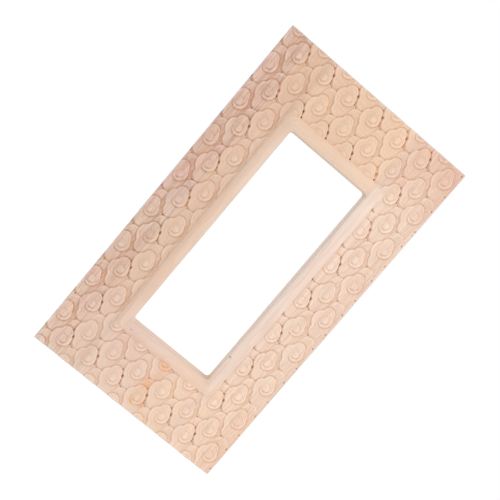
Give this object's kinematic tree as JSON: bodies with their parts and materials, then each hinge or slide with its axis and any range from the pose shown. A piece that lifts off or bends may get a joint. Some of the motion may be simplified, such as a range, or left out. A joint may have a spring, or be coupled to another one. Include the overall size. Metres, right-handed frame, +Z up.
{
  "type": "mirror frame",
  "caption": "Wall-hung wooden mirror frame with a front of repeating carved cloud scrolls, a rounded sight moulding, a mirror rebate, turn buttons and hanging rings behind.",
  "frame": {"origin": "the point of the wall plane that lies behind the frame's middle; the frame's own back face stands 4.5 mm in front of it, because the ring knuckles touch the wall", "axes": "+X to the viewer's right, +Z up along the long side, +Y into the wall; the carved front faces -Y"},
  "size_m": [0.32, 0.0365, 0.567],
  "materials": {
    "left_outer_stave_wood": "bare planed softwood with a pinkish cast, carved front",
    "left_inner_stave_wood": "bare planed softwood with a yellowish cast, carved front",
    "right_inner_stave_wood": "bare planed softwood, pale",
    "right_middle_stave_wood": "bare planed softwood with a light orange cast, carved front",
    "right_outer_stave_wood": "bare planed softwood, pale, carved front",
    "top_rail_wood": "bare planed softwood with an orange-tan cast, carved front",
    "bottom_rail_wood": "bare planed softwood with a peach cast and one orange streak, carved front",
    "dowel_wood": "bare beech",
    "button_steel": "zinc plated",
    "plate_steel": "zinc plated",
    "ring_steel": "zinc plated wire",
    "screw_steel": "yellow zinc plated"
  },
  "bodies": {
    "frame": {"left_outer_stave": "left_outer_stave_wood", "left_inner_stave": "left_inner_stave_wood", "right_inner_stave": "right_inner_stave_wood", "right_middle_stave": "right_middle_stave_wood", "right_outer_stave": "right_outer_stave_wood", "top_rail": "top_rail_wood", "bottom_rail": "bottom_rail_wood", "top_left_dowels": "dowel_wood", "top_right_dowels": "dowel_wood", "bottom_left_dowels": "dowel_wood", "bottom_right_dowels": "dowel_wood", "left_hanger_plate": "plate_steel", "right_hanger_plate": "plate_steel", "turn_button_screws": "screw_steel", "hanger_screws": "screw_steel"},
    "turn_button_left_upper": {"turn_button_left_upper": "button_steel"},
    "turn_button_left_lower": {"turn_button_left_lower": "button_steel"},
    "turn_button_right_upper": {"turn_button_right_upper": "button_steel"},
    "turn_button_right_lower": {"turn_button_right_lower": "button_steel"},
    "turn_button_top": {"turn_button_top": "button_steel"},
    "turn_button_bottom": {"turn_button_bottom": "button_steel"},
    "left_hanger_ring": {"left_hanger_ring": "ring_steel"},
    "right_hanger_ring": {"right_hanger_ring": "ring_steel"}
  },
  "joints": [
    {"name": "turn_button_left_upper_turn", "type": "hinge", "parent": "frame", "child": "turn_button_left_upper", "pos_m": [-0.0885, -0.0034, 0.10375], "axis": [0, 1, 0], "continuous": true},
    {"name": "turn_button_left_lower_turn", "type": "hinge", "parent": "frame", "child": "turn_button_left_lower", "pos_m": [-0.0885, -0.0034, -0.10625], "axis": [0, 1, 0], "continuous": true},
    {"name": "turn_button_right_upper_turn", "type": "hinge", "parent": "frame", "child": "turn_button_right_upper", "pos_m": [0.09, -0.0034, 0.10375], "axis": [0, 1, 0], "continuous": true},
    {"name": "turn_button_right_lower_turn", "type": "hinge", "parent": "frame", "child": "turn_button_right_lower", "pos_m": [0.09, -0.0034, -0.10625], "axis": [0, 1, 0], "continuous": true},
    {"name": "turn_button_top_turn", "type": "hinge", "parent": "frame", "child": "turn_button_top", "pos_m": [0.00075, -0.0034, 0.193], "axis": [0, 1, 0], "continuous": true},
    {"name": "turn_button_bottom_turn", "type": "hinge", "parent": "frame", "child": "turn_button_bottom", "pos_m": [0.00075, -0.0034, -0.1955], "axis": [0, 1, 0], "continuous": true},
    {"name": "left_hanger_ring_swing", "type": "hinge", "parent": "frame", "child": "left_hanger_ring", "pos_m": [-0.13, -0.0021, 0.175], "axis": [1, 0, 0], "range_deg": [0, 180]},
    {"name": "right_hanger_ring_swing", "type": "hinge", "parent": "frame", "child": "right_hanger_ring", "pos_m": [0.13, -0.0021, 0.175], "axis": [1, 0, 0], "range_deg": [0, 180]}
  ]
}
